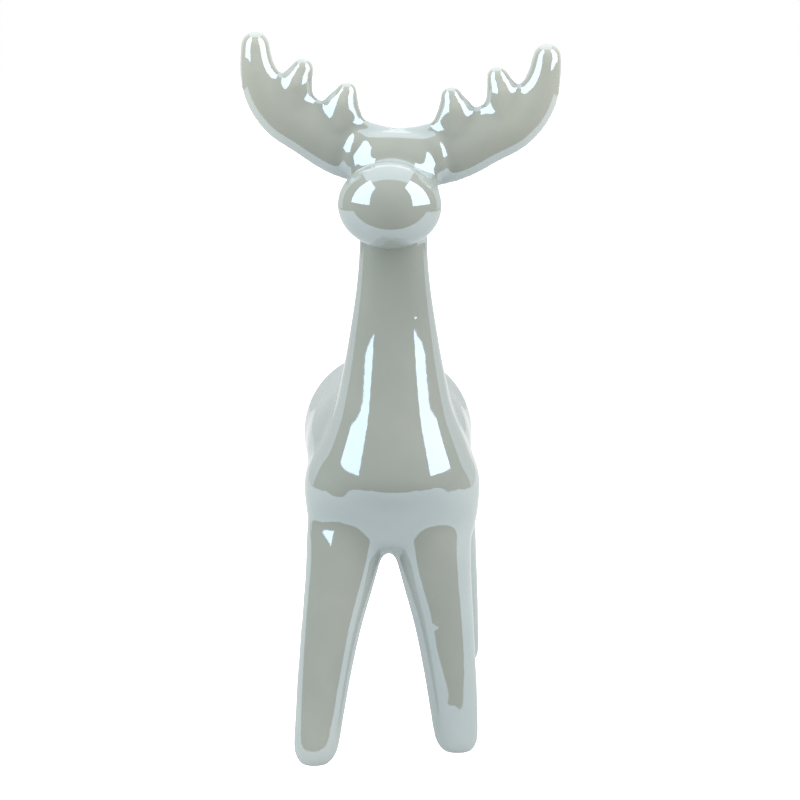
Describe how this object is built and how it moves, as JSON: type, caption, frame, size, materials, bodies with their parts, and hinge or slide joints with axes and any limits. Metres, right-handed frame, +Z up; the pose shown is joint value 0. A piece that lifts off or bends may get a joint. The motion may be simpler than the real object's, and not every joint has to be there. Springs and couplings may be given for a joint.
{
  "type": "reindeer figurine",
  "caption": "Standing stylised reindeer ornament in one glazed ceramic piece: ball muzzle, long neck flaring into a barrel body, tapered splayed legs and flat palmate antlers.",
  "frame": {"origin": "centre of the bounding box's footprint, at the level of the feet's undersides", "axes": "+Z up; the animal looks along -Y, its left side is at +X"},
  "size_m": [0.1062, 0.1386, 0.2436],
  "materials": {
    "pearl_glaze": "glossy grey-green ceramic glaze with a bluish pearl lustre"
  },
  "bodies": {
    "root": {"reindeer": "pearl_glaze"}
  },
  "joints": []
}
